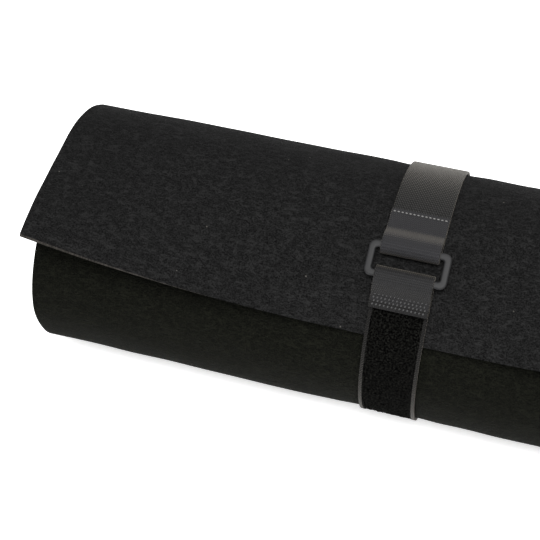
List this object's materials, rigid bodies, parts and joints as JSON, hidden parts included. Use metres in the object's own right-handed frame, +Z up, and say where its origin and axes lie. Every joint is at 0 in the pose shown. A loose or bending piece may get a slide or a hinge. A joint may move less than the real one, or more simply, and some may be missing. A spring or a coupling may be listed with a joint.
{
  "type": "brush roll case",
  "caption": "Felt roll case with sewn brush pockets, rolled up and held by a hook-and-loop cinch strap with a plastic ring; it unrolls flat.",
  "frame": {"origin": "on the surface the roll rests on, under the middle of the roll and of its strap", "axes": "+X along the roll, -Y towards the front with the flap edge and the ring, +Z up"},
  "size_m": [0.3264, 0.123, 0.1117],
  "materials": {
    "outer_felt": "needled felt, matt",
    "pocket_felt": "needled felt, matt",
    "webbing": "woven polyester, slight sheen",
    "loop_tape": "loop pile, matt",
    "plain_tape": "smooth tape, slight sheen",
    "hook_tape": "moulded hooks",
    "ring_plastic": "satin moulded",
    "thread": "sewing thread"
  },
  "bodies": {
    "base": {"sheet_base": "outer_felt", "pocket_base": "pocket_felt", "webbing_base": "webbing", "loop_tape_base": "loop_tape"},
    "back_1": {"sheet_back_1": "outer_felt", "pocket_back_1": "pocket_felt", "webbing_back_1": "webbing"},
    "back_2": {"sheet_back_2": "outer_felt", "pocket_back_2": "pocket_felt", "webbing_back_2": "webbing"},
    "back_3": {"sheet_back_3": "outer_felt", "pocket_back_3": "pocket_felt", "webbing_back_3": "webbing"},
    "back_4": {"sheet_back_4": "outer_felt", "pocket_back_4": "pocket_felt", "webbing_back_4": "webbing"},
    "roll_1": {"sheet_roll_1": "outer_felt", "pocket_roll_1": "pocket_felt", "loop_tape_roll_1": "loop_tape"},
    "roll_2": {"sheet_roll_2": "outer_felt", "pocket_roll_2": "pocket_felt", "loop_tape_roll_2": "loop_tape"},
    "roll_3": {"sheet_roll_3": "outer_felt", "pocket_roll_3": "pocket_felt"},
    "roll_4": {"sheet_roll_4": "outer_felt", "pocket_roll_4": "pocket_felt"},
    "roll_5": {"sheet_roll_5": "outer_felt", "pocket_roll_5": "pocket_felt"},
    "roll_6": {"sheet_roll_6": "outer_felt", "pocket_roll_6": "pocket_felt"},
    "roll_7": {"sheet_roll_7": "outer_felt", "pocket_roll_7": "pocket_felt"},
    "roll_8": {"sheet_roll_8": "outer_felt", "pocket_roll_8": "pocket_felt"},
    "roll_9": {"sheet_roll_9": "outer_felt", "pocket_roll_9": "pocket_felt"},
    "roll_10": {"sheet_roll_10": "outer_felt", "pocket_roll_10": "pocket_felt"},
    "roll_11": {"sheet_roll_11": "outer_felt"},
    "flap": {"sheet_flap": "outer_felt", "webbing_ring_loop": "webbing", "ring_loop_stitches": "thread"},
    "strap_end": {"loop_tape_end": "loop_tape", "tail_fold": "plain_tape"},
    "tail": {"tail_tab": "plain_tape", "hook_patch": "hook_tape"},
    "ring": {"ring": "ring_plastic"}
  },
  "joints": [
    {"name": "unroll_back_1", "type": "hinge", "parent": "base", "child": "back_1", "pos_m": [0, 0.01924, 0.0008], "axis": [-1, 0, 0], "range_deg": [0, 39.96]},
    {"name": "unroll_back_2", "type": "hinge", "parent": "back_1", "child": "back_2", "pos_m": [0, 0.04994, 0.02584], "axis": [-1, 0, 0], "range_deg": [0, 41.41]},
    {"name": "unroll_back_3", "type": "hinge", "parent": "back_2", "child": "back_3", "pos_m": [0, 0.05585, 0.06465], "axis": [-1, 0, 0], "range_deg": [0, 41.7]},
    {"name": "unroll_back_4", "type": "hinge", "parent": "back_3", "child": "back_4", "pos_m": [0, 0.03436, 0.09773], "axis": [-1, 0, 0], "range_deg": [0, 40.81]},
    {"name": "unroll", "type": "hinge", "parent": "base", "child": "roll_1", "pos_m": [0, -0.01924, 0.0008], "axis": [1, 0, 0], "range_deg": [0, 41.94]},
    {"name": "unroll_roll_2", "type": "hinge", "parent": "roll_1", "child": "roll_2", "pos_m": [0, -0.05175, 0.02933], "axis": [1, 0, 0], "range_deg": [0, 49.19]},
    {"name": "unroll_roll_3", "type": "hinge", "parent": "roll_2", "child": "roll_3", "pos_m": [0, -0.05061, 0.07128], "axis": [1, 0, 0], "range_deg": [0, 55.91]},
    {"name": "unroll_roll_4", "type": "hinge", "parent": "roll_3", "child": "roll_4", "pos_m": [0, -0.01892, 0.09324], "axis": [1, 0, 0], "range_deg": [0, 30.57]},
    {"name": "unroll_roll_5", "type": "hinge", "parent": "roll_4", "child": "roll_5", "pos_m": [0, 0.01488, 0.09313], "axis": [1, 0, 0], "range_deg": [0, 44.4]},
    {"name": "unroll_roll_6", "type": "hinge", "parent": "roll_5", "child": "roll_6", "pos_m": [0, 0.03945, 0.07105], "axis": [1, 0, 0], "range_deg": [0, 45.54]},
    {"name": "unroll_roll_7", "type": "hinge", "parent": "roll_6", "child": "roll_7", "pos_m": [0, 0.04091, 0.03839], "axis": [1, 0, 0], "range_deg": [0, 45.63]},
    {"name": "unroll_roll_8", "type": "hinge", "parent": "roll_7", "child": "roll_8", "pos_m": [0, 0.01832, 0.01433], "axis": [1, 0, 0], "range_deg": [0, 46.95]},
    {"name": "unroll_roll_9", "type": "hinge", "parent": "roll_8", "child": "roll_9", "pos_m": [0, -0.01464, 0.01319], "axis": [1, 0, 0], "range_deg": [0, 41.96]},
    {"name": "unroll_roll_10", "type": "hinge", "parent": "roll_9", "child": "roll_10", "pos_m": [0, -0.03945, 0.03495], "axis": [1, 0, 0], "range_deg": [0, 50.36]},
    {"name": "unroll_roll_11", "type": "hinge", "parent": "roll_10", "child": "roll_11", "pos_m": [0, -0.03783, 0.06679], "axis": [1, 0, 0], "range_deg": [0, 59.8]},
    {"name": "unroll_flap", "type": "hinge", "parent": "back_4", "child": "flap", "pos_m": [0, -0.00398, 0.10886], "axis": [-1, 0, 0], "range_deg": [0, 20.14]},
    {"name": "strap_end_open", "type": "hinge", "parent": "roll_2", "child": "strap_end", "pos_m": [0, -0.05504, 0.07269], "axis": [1, 0, 0], "range_deg": [0, 46.51]},
    {"name": "ring_swivel", "type": "hinge", "parent": "flap", "child": "ring", "pos_m": [0, -0.02862, 0.10569], "axis": [-1, 0, 0], "range_deg": [0, 20.02]},
    {"name": "tail_peel", "type": "hinge", "parent": "strap_end", "child": "tail", "pos_m": [0, -0.04124, 0.10167], "axis": [-1, 0, 0], "range_deg": [0, 130], "deforming": ["tail_fold"]}
  ],
  "couplings": [
    {"joint": "unroll_back_1", "follows": "unroll", "ratio": 0.95245},
    {"joint": "unroll_back_2", "follows": "unroll", "ratio": 0.98705},
    {"joint": "unroll_back_3", "follows": "unroll", "ratio": 0.99401},
    {"joint": "unroll_back_4", "follows": "unroll", "ratio": 0.97272},
    {"joint": "unroll_roll_2", "follows": "unroll", "ratio": 1.1725},
    {"joint": "unroll_roll_3", "follows": "unroll", "ratio": 1.3329},
    {"joint": "unroll_roll_4", "follows": "unroll", "ratio": 0.72849},
    {"joint": "unroll_roll_5", "follows": "unroll", "ratio": 1.0584},
    {"joint": "unroll_roll_6", "follows": "unroll", "ratio": 1.0854},
    {"joint": "unroll_roll_7", "follows": "unroll", "ratio": 1.0878},
    {"joint": "unroll_roll_8", "follows": "unroll", "ratio": 1.1192},
    {"joint": "unroll_roll_9", "follows": "unroll", "ratio": 1},
    {"joint": "unroll_roll_10", "follows": "unroll", "ratio": 1.2004},
    {"joint": "unroll_roll_11", "follows": "unroll", "ratio": 1.4257},
    {"joint": "unroll_flap", "follows": "unroll", "ratio": 0.47967},
    {"joint": "strap_end_open", "follows": "unroll", "ratio": 1.1086},
    {"joint": "ring_swivel", "follows": "unroll", "ratio": 0.47693}
  ]
}
